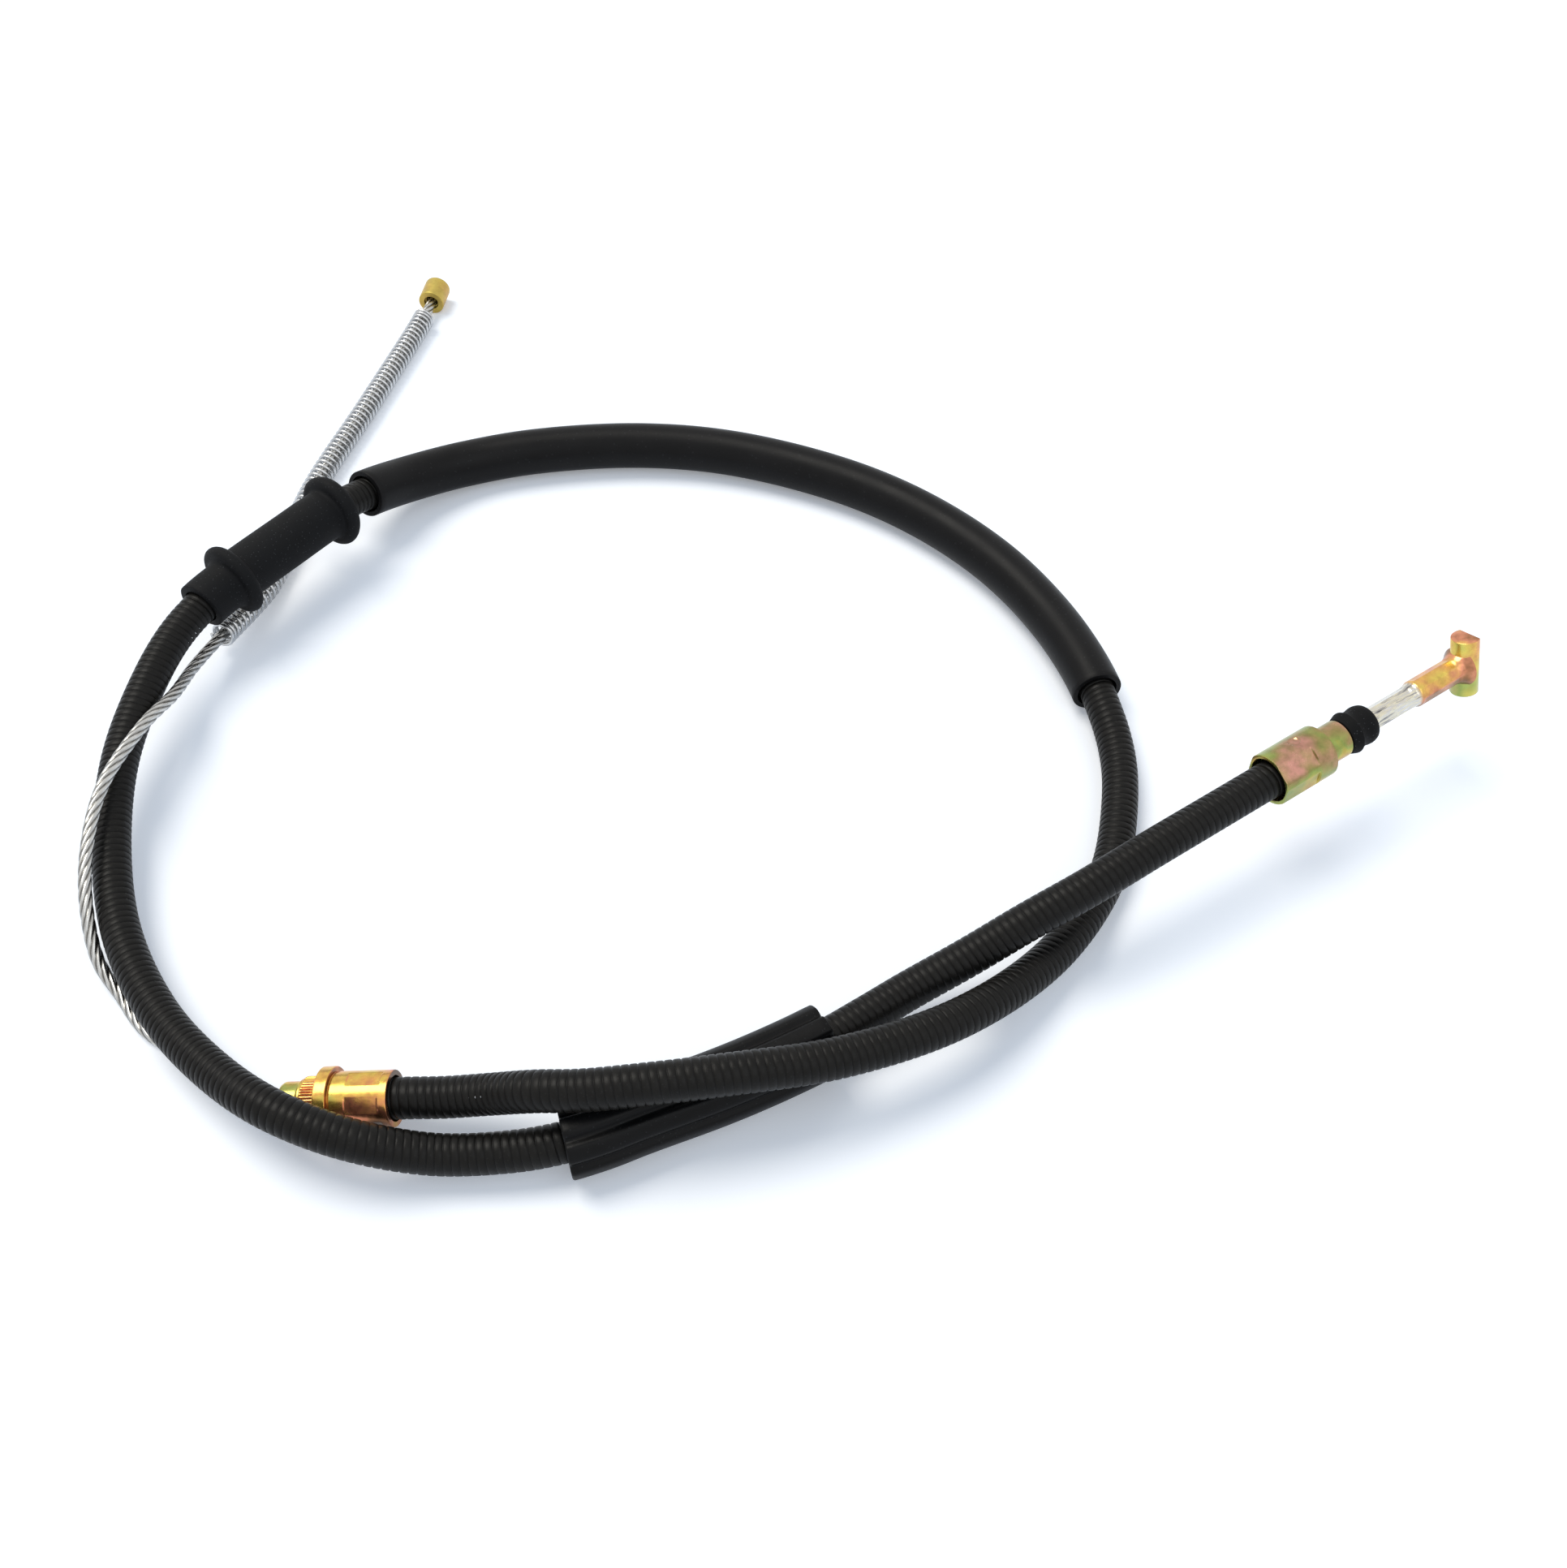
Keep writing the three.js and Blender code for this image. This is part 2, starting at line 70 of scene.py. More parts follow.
tubeRun = [
    (-0.1255, 0.1233, 0.0115), (-0.1085, 0.1352, 0.0081), (-0.085, 0.1422, 0.0078),
    (-0.050, 0.1454, 0.0078), (-0.018, 0.1414, 0.0078), (0.019, 0.1274, 0.0078),
    (0.045, 0.1104, 0.0078), (0.0675, 0.0875, 0.0078), (0.0832, 0.0621, 0.0078), (0.0924, 0.038, 0.008),
    (0.0961, 0.022, 0.0073), (0.0979, 0.009, 0.006), (0.0975, -0.005, 0.0055), (0.0923, -0.031, 0.0055),
    (0.0855, -0.0465, 0.0057)]
returnRun = [
    (0.070, -0.0682, 0.0085), (0.044, -0.0918, 0.017), (0.015, -0.1054, 0.0215),
    (-0.013, -0.1129, 0.0257), (-0.0355, -0.1164, 0.0264), (-0.049, -0.117, 0.025),
    (-0.060, -0.1158, 0.0226), (-0.0725, -0.1126, 0.0156), (-0.0837, -0.1117, 0.0126)]
bareRun = [
    (-0.137, -0.1072, 0.0049), (-0.145, -0.1013, 0.0035), (-0.153, -0.0945, 0.0024),
    (-0.1665, -0.086, 0.0021), (-0.1755, -0.0755, 0.0028), (-0.1824, -0.0672, 0.0065),
    (-0.1863, -0.0555, 0.014), (-0.1887, -0.0395, 0.0195), (-0.1885, -0.0195, 0.0225),
    (-0.1828, 0.004, 0.0218), (-0.1792, 0.020, 0.017), (-0.1783, 0.0375, 0.011),
    (-0.174, 0.055, 0.0072), (-0.1695, 0.068, 0.0052), (-0.1655, 0.0795, 0.0044),
    (-0.163, 0.0955, 0.0042), (-0.1595, 0.1255, 0.0042), (-0.1475, 0.172, 0.0042),
    (-0.1344, 0.225, 0.0044), (-0.1328, 0.235, 0.00475), (-0.1309, 0.2465, 0.00485)]

points = [hook + (armRoot - hook) * t for t in (0, 0.33, 0.66, 0.83, 1)]
points += [np.array(p) for p in loopRun + tubeRun + returnRun]
points += [crimpTail + (crimpNose - crimpTail) * t for t in (-0.13, 0, 0.5, 1, 1.1)]
points += [np.array(p) for p in bareRun]
points = np.array(points) - middle


def smoothRoute(pts, steps=90):
    out = []
    for i in range(len(pts) - 1):
        p1, p2 = pts[i], pts[i + 1]
        p0 = pts[i - 1] if i else 2 * p1 - p2
        p3 = pts[i + 2] if i + 2 < len(pts) else 2 * p2 - p1
        d0, d1, d2 = (np.linalg.norm(b - a) ** 0.5 for a, b in ((p0, p1), (p1, p2), (p2, p3)))
        m1 = ((p1 - p0) / d0 - (p2 - p0) / (d0 + d1) + (p2 - p1) / d1) * d1
        m2 = ((p2 - p1) / d1 - (p3 - p1) / (d1 + d2) + (p3 - p2) / d2) * d1
        t = (np.arange(steps) / steps)[:, None]
        out.append(p1 + m1 * t + (3 * (p2 - p1) - 2 * m1 - m2) * t ** 2 + (2 * (p1 - p2) + m1 + m2) * t ** 3)
    out.append(pts[-1:])
    return np.concatenate(out)


dense = smoothRoute(points)
stretch = np.concatenate([[0], np.cumsum(np.linalg.norm(np.diff(dense, axis=0), axis=1))])
along = np.arange(0, stretch[-1], 0.0005)  # even stations, half a millimetre apart
centre = np.stack([np.interp(along, stretch, dense[:, k]) for k in range(3)], 1)
heading = np.gradient(centre, axis=0)
heading /= np.linalg.norm(heading, axis=1)[:, None]
sideways = np.zeros_like(heading)
sideways[0] = np.cross(heading[0], (0, 0, 1))
for i in range(1, len(heading)):  # carried along without twist
    v = sideways[i - 1] - heading[i] * sideways[i - 1].dot(heading[i])
    sideways[i] = v / np.linalg.norm(v)
upward = np.cross(sideways, heading)


def onRoute(s):
    s = np.asarray(s, float) * 0.001
    return [np.stack([np.interp(s, along, line[:, k]) for k in range(3)], -1)
            for line in (centre, upward, sideways)]


def stationOf(p):
    return float(along[np.argmin(np.linalg.norm(centre - (p - middle), axis=1))]) * 1000


def straightFrom(s):  # a straight axis that starts on the route: fittings sit on it
    i = int(round(s * 2))
    tangent = heading[i]
    side = np.cross(tangent, (0, 0, 1))
    side /= np.linalg.norm(side)
    return centre[i], tangent, np.cross(side, tangent), side


tailB = stationOf(crimpTail)
print("ferrule at the bare strand from", round(tailB, 2), "of", round(stretch[-1] * 1000, 1))


def grid(name, rows, loop=False, facts=None, caps=False):  # rows x around, closed around
    m, n = rows.shape[:2]
    i = np.arange(m if loop else m - 1)[:, None]
    j = np.arange(n)[None, :]
    a = i * n + j
    b = i * n + (j + 1) % n
    c = ((i + 1) % m) * n + (j + 1) % n
    d = ((i + 1) % m) * n + j
    faces = np.stack([a, b, c, d], -1).reshape(-1, 4).tolist()
    if caps:
        faces.append(list(range(n))[::-1])
        faces.append([(m - 1) * n + k for k in range(n)])
    mesh = bpy.data.meshes.new(name)
    mesh.from_pydata(rows.reshape(-1, 3).tolist(), [], faces)
    for key, values in (facts or {}).items():
        layer = mesh.attributes.new(key, "FLOAT", "POINT")
        layer.data.foreach_set("value", np.ascontiguousarray(values, np.float32).ravel())
    mesh.shade_smooth()
    mesh.update()
    obj = bpy.data.objects.new(name, mesh)
    scene.collection.objects.link(obj)
    return obj


def dressed(obj, body, nodes, material, creaseAt=None):
    if creaseAt:
        obj.data.set_sharp_from_angle(angle=math.radians(creaseAt))
    obj.data.materials.append(material)
    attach(obj, body)
    if nodes:
        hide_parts(*nodes)
    return obj


def denser(profile, longest=0.4):  # splits long steps of a (radius, distance) profile
    out = [profile[0]]
    for p, q in zip(profile, profile[1:]):
        parts = max(1, math.ceil(math.dist(p, q) / longest))
        for k in range(1, parts + 1):
            out.append((p[0] + (q[0] - p[0]) * k / parts, p[1] + (q[1] - p[1]) * k / parts))
    return out


def rounded(profile, radius):  # rounds the corners of a closed or open profile
    out = []
    for k, p in enumerate(profile):
        if k in (0, len(profile) - 1):
            out.append(p)
            continue
        a, b = profile[k - 1], profile[k + 1]
        la, lb = math.dist(p, a), math.dist(p, b)
        r = min(radius, la * 0.4, lb * 0.4)
        start = (p[0] + (a[0] - p[0]) * r / la, p[1] + (a[1] - p[1]) * r / la)
        end = (p[0] + (b[0] - p[0]) * r / lb, p[1] + (b[1] - p[1]) * r / lb)
        for t in (0, 0.33, 0.67, 1):
            x = (1 - t) ** 2 * start[0] + 2 * t * (1 - t) * p[0] + t * t * end[0]
            y = (1 - t) ** 2 * start[1] + 2 * t * (1 - t) * p[1] + t * t * end[1]
            out.append((x, y))
    return out


def turnedOn(name, s, profile, sides=72, shape=None, loop=True):  # a turned form, with shape(r, y, angle)
    start, tangent, up, side = straightFrom(s)
    angle = np.arange(sides) / sides * 2 * math.pi
    radius = np.array([[p[0]] * sides for p in profile], float)
    reach = np.array([[p[1]] * sides for p in profile], float)
    turn = np.broadcast_to(angle, radius.shape)
    if shape:
        radius, reach = shape(radius, reach, turn)
    cos, sin = np.cos(turn)[..., None], np.sin(turn)[..., None]
    rows = start + (tangent * reach[..., None] + (up * cos + side * sin) * radius[..., None]) * 0.001
    return grid(name, rows, loop=loop, facts={"reach": reach, "turn": turn})


def flatted(radius, turn, apothem, centres, wide):  # planes flats at angles in degrees
    out = radius.copy()
    for c in centres:
        d = (np.degrees(turn) - c + 180) % 360 - 180
        plane = apothem / np.maximum(np.cos(np.radians(d)), 0.3)
        out = np.where(np.abs(d) < wide, np.minimum(out, plane), out)
    return out


def blendStep(y, start, end, soft):
    a = np.clip((y - start) / soft, 0, 1)
    b = np.clip((end - y) / soft, 0, 1)
    a, b = a * a * (3 - 2 * a), b * b * (3 - 2 * b)
    return a * b


print("materials")


def newGroup(name, inputs, outputs):
    group = bpy.data.node_groups.new(name, "ShaderNodeTree")
    for kind, label, value in inputs:
        socket = group.interface.new_socket(label, in_out="INPUT", socket_type=kind)
        socket.default_value = value
    for kind, label in outputs:
        group.interface.new_socket(label, in_out="OUTPUT", socket_type=kind)
    return group, group.nodes.new("NodeGroupInput"), group.nodes.new("NodeGroupOutput")


def addNode(tree, kind, values=None, **settings):
    node = tree.nodes.new(kind)
    for key, value in settings.items():
        setattr(node, key, value)
    for key, value in (values or {}).items():
        node.inputs[key].default_value = value
    return node


def mathNode(tree, operation, a, b=None, clamp=False):
    node = addNode(tree, "ShaderNodeMath", operation=operation, use_clamp=clamp)
    for k, v in enumerate((a, b)):
        if v is None:
            continue
        if isinstance(v, (int, float)):
            node.inputs[k].default_value = v
        else:
            tree.links.new(v, node.inputs[k])
    return node.outputs[0]


def ramp(tree, fac, stops):
    node = addNode(tree, "ShaderNodeValToRGB")
    elements = node.color_ramp.elements
    while len(elements) < len(stops):
        elements.new(0.5)
    for element, (place, colour) in zip(elements, stops):
        element.position = place
        element.color = (*colour, 1)
    tree.links.new(fac, node.inputs["Fac"])
    return node.outputs["Color"]


def mixColour(tree, fac, a, b, blend="MIX"):
    node = addNode(tree, "ShaderNodeMix", data_type="RGBA", blend_type=blend)
    for socket, v in ((node.inputs["Factor"], fac), (node.inputs["A"], a), (node.inputs["B"], b)):
        if hasattr(v, "is_output"):
            tree.links.new(v, socket)
        elif isinstance(v, (int, float)):
            socket.default_value = v
        else:
            socket.default_value = (*v, 1)
    return node.outputs["Result"]


# Grain: fine mottling and specks that many surfaces share
grain, gIn, gOut = newGroup("grain", [
    ("NodeSocketFloat", "Scale", 900.0), ("NodeSocketFloat", "Speck", 0.5)],
    [("NodeSocketFloat", "Mottle"), ("NodeSocketFloat", "Specks"), ("NodeSocketFloat", "Height")])
coord = addNode(grain, "ShaderNodeTexCoord")
fine = addNode(grain, "ShaderNodeTexNoise", {"Detail": 4.0, "Roughness": 0.6})
coarse = addNode(grain, "ShaderNodeTexNoise", {"Detail": 3.0, "Roughness": 0.5})
dots = addNode(grain, "ShaderNodeTexVoronoi", {"Randomness": 1.0})
for node in (fine, coarse, dots):
    grain.links.new(coord.outputs["Object"], node.inputs["Vector"])
grain.links.new(gIn.outputs["Scale"], fine.inputs["Scale"])
grain.links.new(mathNode(grain, "MULTIPLY", gIn.outputs["Scale"], 0.16), coarse.inputs["Scale"])
grain.links.new(mathNode(grain, "MULTIPLY", gIn.outputs["Scale"], 0.7), dots.inputs["Scale"])
near = mathNode(grain, "LESS_THAN", dots.outputs["Distance"], 0.16)
grain.links.new(mathNode(grain, "MULTIPLY", near, gIn.outputs["Speck"]), gOut.inputs["Specks"])
grain.links.new(coarse.outputs["Fac"], gOut.inputs["Mottle"])
grain.links.new(fine.outputs["Fac"], gOut.inputs["Height"])

# Plated colours: the thin film of a yellow passivation, seen as bands that follow the surface. The Tilt input adds
# the normal's upward part, so the colour also changes with how each face points: a painted highlight band on the
# upper faces and painted shade on the underside.
plated, pIn, pOut = newGroup("plated", [
    ("NodeSocketFloat", "Shift", 0.0), ("NodeSocketFloat", "Spread", 1.0), ("NodeSocketFloat", "Tilt", 0.2),
    ("NodeSocketFloat", "Rub", 0.0), ("NodeSocketFloat", "Streak", 0.5)],
    [("NodeSocketColor", "Color"), ("NodeSocketFloat", "Roughness"), ("NodeSocketFloat", "Height")])
coord = addNode(plated, "ShaderNodeTexCoord")
broad = addNode(plated, "ShaderNodeTexNoise", {"Scale": 95.0, "Detail": 2.0, "Roughness": 0.5})
blotch = addNode(plated, "ShaderNodeTexNoise", {"Scale": 360.0, "Detail": 4.0, "Roughness": 0.6})
for node in (broad, blotch):
    plated.links.new(coord.outputs["Object"], node.inputs["Vector"])
normal = addNode(plated, "ShaderNodeSeparateXYZ")
plated.links.new(coord.outputs["Normal"], normal.inputs["Vector"])
filmAndShade = mathNode(plated, "MULTIPLY", normal.outputs["Z"], pIn.outputs["Tilt"])
wander = mathNode(plated, "MULTIPLY", mathNode(plated, "SUBTRACT", broad.outputs["Fac"], 0.5), 1.0)
speckle = mathNode(plated, "MULTIPLY", mathNode(plated, "SUBTRACT", blotch.outputs["Fac"], 0.5), 0.2)
filmAndShade = mathNode(plated, "ADD", filmAndShade, mathNode(plated, "ADD", wander, speckle))
filmAndShade = mathNode(plated, "MULTIPLY", filmAndShade, pIn.outputs["Spread"])
filmAndShade = mathNode(plated, "ADD", filmAndShade, pIn.outputs["Shift"], clamp=True)
# faces turned down are pushed toward the ramp's dark brown low end: painted shade
bands = ramp(plated, filmAndShade, [
    (0.0, (0.10, 0.06, 0.03)), (0.14, (0.34, 0.16, 0.07)), (0.28, (0.74, 0.30, 0.17)),
    (0.4, (0.80, 0.46, 0.13)), (0.53, (0.74, 0.58, 0.12)), (0.66, (0.38, 0.46, 0.12)),
    (0.8, (0.44, 0.34, 0.13)), (1.0, (0.70, 0.34, 0.26))])
# silver of the bare barrel; its dark and bright streak colours are painted reflections
silverWithReflections = ramp(plated, pIn.outputs["Streak"], [
    (0.3, (0.10, 0.095, 0.09)), (0.42, (0.46, 0.44, 0.42)), (0.5, (0.80, 0.74, 0.56)),
    (0.6, (0.62, 0.60, 0.58)), (0.7, (0.86, 0.86, 0.87))])
bands = mixColour(plated, 1.0, bands, ramp(plated, blotch.outputs["Fac"], [
    (0.32, (0.78, 0.78, 0.78)), (0.5, (0.96, 0.96, 0.96)), (0.7, (1.1, 1.1, 1.1))]), "MULTIPLY")
plated.links.new(mixColour(plated, pIn.outputs["Rub"], bands, silverWithReflections), pOut.inputs["Color"])
plated.links.new(mathNode(plated, "MULTIPLY", blotch.outputs["Fac"], 0.24), pOut.inputs["Roughness"])
plated.links.new(blotch.outputs["Fac"], pOut.inputs["Height"])


def newMaterial(name):
    material = bpy.data.materials.new(name)
    material.use_nodes = True
    tree = material.node_tree
    return material, tree, tree.nodes["Principled BSDF"]


def attribute(tree, name):
    return addNode(tree, "ShaderNodeAttribute", attribute_name=name).outputs["Fac"]


def bumpInto(tree, shader, height, strength, distance):
    bump = addNode(tree, "ShaderNodeBump", {"Strength": strength, "Distance": distance})
    tree.links.new(height, bump.inputs["Height"])
    tree.links.new(bump.outputs["Normal"], shader.inputs["Normal"])


def rubberMaterial(name, look):
    material, tree, shader = newMaterial(name)
    g = addNode(tree, "ShaderNodeGroup", node_tree=grain)
    g.inputs["Scale"].default_value = look["scale"]
    g.inputs["Speck"].default_value = look["specks"]
    body = mixColour(tree, g.outputs["Mottle"], look["dark"], look["pale"])
    body = mixColour(tree, g.outputs["Specks"], body, look["dust"])
    tree.links.new(body, shader.inputs["Base Color"])
    rough = mathNode(tree, "MULTIPLY", g.outputs["Mottle"], look["roughSpread"])
    rough = mathNode(tree, "ADD", rough, look["rough"], clamp=True)
    tree.links.new(rough, shader.inputs["Roughness"])
    shader.inputs["Specular IOR Level"].default_value = look["specular"]
    bumpInto(tree, shader, g.outputs["Height"], look["bump"], 0.0002)
    return material


sealLook = {"scale": 1500, "specks": 0.5, "dark": (0.004, 0.004, 0.004), "pale": (0.010, 0.0095, 0.0095),
            "dust": (0.10, 0.10, 0.10), "rough": 0.55, "roughSpread": 0.25, "specular": 0.09, "bump": 0.25}
sealRubber = rubberMaterial("seal_rubber", sealLook)
grommetLook = {"scale": 1300, "specks": 0.3, "dark": (0.005, 0.005, 0.0053), "pale": (0.012, 0.012, 0.0123),
               "dust": (0.09, 0.09, 0.09), "rough": 0.50, "roughSpread": 0.3, "specular": 0.1, "bump": 0.3}
grommetRubber = rubberMaterial("grommet_rubber", grommetLook)
sleeveLook = {"scale": 1100, "specks": 0.15, "dark": (0.003, 0.003, 0.003), "pale": (0.008, 0.0075, 0.0075),
              "dust": (0.08, 0.08, 0.08), "rough": 0.28, "roughSpread": 0.2, "specular": 0.11, "bump": 0.15}
sleeveRubber = rubberMaterial("sleeve_rubber", sleeveLook)
tubeLook = {"scale": 700, "specks": 0.1, "dark": (0.005, 0.0047, 0.0047), "pale": (0.010, 0.0094, 0.0094),
            "dust": (0.07, 0.07, 0.07), "rough": 0.3, "roughSpread": 0.22, "specular": 0.11, "bump": 0.12}
tubePlastic = rubberMaterial("tube_plastic", tubeLook)

# Sheath: warm charcoal on the rib tops; the darker colour in the grooves between them is painted shade
sheathPlastic, tree, shader = newMaterial("sheath_plastic")
g = addNode(tree, "ShaderNodeGroup", node_tree=grain)
g.inputs["Scale"].default_value = 1200
g.inputs["Speck"].default_value = 0.12
top = mixColour(tree, g.outputs["Mottle"], (0.005, 0.0046, 0.004), (0.012, 0.0108, 0.0092))
top = mixColour(tree, g.outputs["Specks"], top, (0.06, 0.056, 0.05))
ribsAndGrooveShade = mixColour(tree, attribute(tree, "crest"), (0.0025, 0.0023, 0.002), top)
tree.links.new(ribsAndGrooveShade, shader.inputs["Base Color"])
rough = mathNode(tree, "ADD", mathNode(tree, "MULTIPLY", g.outputs["Mottle"], 0.2), 0.28)
tree.links.new(rough, shader.inputs["Roughness"])
shader.inputs["Specular IOR Level"].default_value = 0.13
bumpInto(tree, shader, g.outputs["Height"], 0.15, 0.0002)


def platedMaterial(name, look):
    material, tree, shader = newMaterial(name)
    p = addNode(tree, "ShaderNodeGroup", node_tree=plated)
    p.inputs["Shift"].default_value = look["shift"]
    p.inputs["Spread"].default_value = look["spread"]
    p.inputs["Tilt"].default_value = look["tilt"]
    if look.get("rubbed"):
        tree.links.new(attribute(tree, "rub"), p.inputs["Rub"])
        place = addNode(tree, "ShaderNodeCombineXYZ")  # painted reflections: dark and bright streaks along the barrel
        tree.links.new(mathNode(tree, "SINE", attribute(tree, "turn")), place.inputs["X"])
        tree.links.new(mathNode(tree, "COSINE", attribute(tree, "turn")), place.inputs["Y"])
        tree.links.new(mathNode(tree, "MULTIPLY", attribute(tree, "reach"), 0.035), place.inputs["Z"])
        streak = addNode(tree, "ShaderNodeTexNoise", {"Scale": 3.4, "Detail": 3.0, "Roughness": 0.6})
        tree.links.new(place.outputs[0], streak.inputs["Vector"])
        tree.links.new(streak.outputs["Fac"], p.inputs["Streak"])
        # the bar gets its own shift and tilt, so its faces also take painted light and shade by facing
        bar = attribute(tree, "bar")
        for label, key, change in (("Shift", "shift", "barShift"), ("Tilt", "tilt", "barTilt")):
            own = mathNode(tree, "ADD", mathNode(tree, "MULTIPLY", bar, look[change]), look[key])
            tree.links.new(own, p.inputs[label])
    tint = mixColour(tree, 1.0, p.outputs["Color"], look["tint"], "MULTIPLY")
    tree.links.new(tint, shader.inputs["Base Color"])
    shader.inputs["Metallic"].default_value = look["metal"]
    rough = mathNode(tree, "ADD", p.outputs["Roughness"], look["rough"])
    tree.links.new(rough, shader.inputs["Roughness"])
    bumpInto(tree, shader, p.outputs["Height"], look["bump"], 0.00015)
    return material


# tilt: how strongly each plating paints a lit top and a shaded underside by facing
ferruleAPlating = platedMaterial("ferrule_a_plating", {
    "shift": 0.6, "spread": 1.1, "tilt": 0.2, "tint": (0.76, 0.76, 0.76), "metal": 0.85, "rough": 0.12,
    "bump": 0.25})
ferruleBPlating = platedMaterial("ferrule_b_plating", {
    "shift": 0.11, "spread": 1.35, "tilt": 0.38, "tint": (0.98, 0.86, 0.82), "metal": 0.85, "rough": 0.12,
    "bump": 0.25})
tEndPlating = platedMaterial("t_end_plating", {
    "shift": 0.15, "spread": 0.85, "tilt": 0.27, "tint": (0.95, 0.95, 0.95), "metal": 0.85, "rough": 0.12,
    "bump": 0.2, "rubbed": True, "barShift": 0.42, "barTilt": -0.52})
nipplePlating = platedMaterial("nipple_plating", {
    "shift": 0.50, "spread": 0.3, "tilt": 0.15, "tint": (0.75, 0.7, 0.75), "metal": 0.8, "rough": 0.3,
    "bump": 0.2})


def steelMaterial(name, look):
    material, tree, shader = newMaterial(name)
    g = addNode(tree, "ShaderNodeGroup", node_tree=grain)
    g.inputs["Scale"].default_value = look["scale"]
    g.inputs["Speck"].default_value = 0.0
    tone = mixColour(tree, g.outputs["Mottle"], look["dark"], look["pale"])
    # a groove colour, where given, darkens the hollows between crests: painted shade
    if look.get("groove"):
        tone = mixColour(tree, attribute(tree, "crest"), look["groove"], tone)
    tree.links.new(tone, shader.inputs["Base Color"])
    shader.inputs["Metallic"].default_value = 1.0
    rough = mathNode(tree, "MULTIPLY", g.outputs["Height"], look["roughSpread"])
    tree.links.new(mathNode(tree, "ADD", rough, look["rough"]), shader.inputs["Roughness"])
    bumpInto(tree, shader, g.outputs["Height"], 0.12, 0.0001)
    return material


# the strand's groove colour is painted shade between the bundles
strandSteel = steelMaterial("strand_steel", {
    "scale": 2600, "dark": (0.44, 0.44, 0.43), "pale": (0.76, 0.76, 0.74), "groove": (0.10, 0.095, 0.085),
    "rough": 0.18, "roughSpread": 0.2})
springSteel = steelMaterial("spring_steel", {
    "scale": 2200, "dark": (0.40, 0.41, 0.42), "pale": (0.66, 0.67, 0.68), "rough": 0.16, "roughSpread": 0.2})

print("sheath")
sheath = {"radius": 5.25, "pitch": 2.1, "groove": 0.3, "sides": 20, "start": 59.2, "end": tailB + 13.6}
lines = [(0.0, -sheath["groove"], 0.0), (0.08, -0.12, 0.55), (0.2, -0.015, 1.0),
         (0.5, 0.0, 1.0), (0.8, -0.015, 1.0), (0.92, -0.12, 0.55)]
turns = int((sheath["end"] - sheath["start"]) / sheath["pitch"])
step = np.arange(turns * sheath["sides"] + 1)
s = []
radius = []
crest = []
for place, dip, mask in lines:
    s.append(sheath["start"] + sheath["pitch"] * (step / sheath["sides"] + place))
    radius.append(np.full(len(step), sheath["radius"] + dip))
    crest.append(np.full(len(step), mask))
s, radius, crest = np.array(s), np.array(radius), np.array(crest)
turn = np.broadcast_to(step / sheath["sides"] * 2 * math.pi, s.shape)
c, u, w = onRoute(s)
verts = c + (u * np.cos(turn)[..., None] + w * np.sin(turn)[..., None]) * radius[..., None] * 0.001
count = len(step)
faces = []
last = count - 1 - sheath["sides"]
for m in range(len(lines)):
    k = np.arange(count - 1 if m < len(lines) - 1 else last)
    a = m * count + k
    if m < len(lines) - 1:
        faces.append(np.stack([a, a + 1, a + count + 1, a + count], 1))
    else:
        faces.append(np.stack([a, a + 1, k + sheath["sides"] + 1, k + sheath["sides"]], 1))
mesh = bpy.data.meshes.new("sheath")
mesh.from_pydata(verts.reshape(-1, 3).tolist(), [], np.concatenate(faces).tolist())
layer = mesh.attributes.new("crest", "FLOAT", "POINT")
layer.data.foreach_set("value", crest.astype(np.float32).ravel())
mesh.shade_smooth()
sheathObj = bpy.data.objects.new("ribbed_sheath", mesh)
scene.collection.objects.link(sheathObj)
dressed(sheathObj, "conduit", ["conduit_sheath"], sheathPlastic)


def routeSkin(name, stations, sides, radiusAt, facts):  # a closed bar along the route
    turn = np.broadcast_to(np.arange(sides) / sides * 2 * math.pi, (len(stations), sides))
    where = np.broadcast_to(np.array(stations, float)[:, None], turn.shape)
    radius = radiusAt(where, turn)
    c, u, w = onRoute(where)
    rows = c + (u * np.cos(turn)[..., None] + w * np.sin(turn)[..., None]) * radius[..., None] * 0.001
    return grid(name, rows, facts=facts(where, turn), caps=True)


print("strand")
strand = {"radius": 1.8, "lay": 24.0, "bundles": 6, "wires": 5, "bundleDip": 0.34, "wireDip": 0.10,
          "sides": 60, "step": 0.6, "frontFrom": 9, "frontTo": 94.5, "bareFrom": tailB + 26, "bareTo": 1643.6}


def strandRadius(where, turn):
    swing = turn - where / strand["lay"] * 2 * math.pi
    bundle = np.abs(np.cos(swing * strand["bundles"] / 2))
    wire = np.abs(np.cos(swing * strand["bundles"] * strand["wires"] / 2 + where * 0.9))
    return strand["radius"] - strand["bundleDip"] * bundle ** 6 - strand["wireDip"] * wire ** 3


def strandFacts(where, turn):
    depth = (strand["radius"] - strandRadius(where, turn)) / strand["bundleDip"]
    return {"crest": np.clip(1 - depth, 0, 1)}


bareStations = np.arange(strand["bareFrom"], strand["bareTo"], strand["step"])
bare = routeSkin("bare_strand", bareStations, strand["sides"], strandRadius, strandFacts)
dressed(bare, "conduit", ["inner_wire"], strandSteel)
frontStations = np.arange(strand["frontFrom"], strand["frontTo"], strand["step"])
front = routeSkin("front_strand", frontStations, strand["sides"], strandRadius, strandFacts)
dressed(front, "t_end", ["inner_wire_front"], strandSteel)

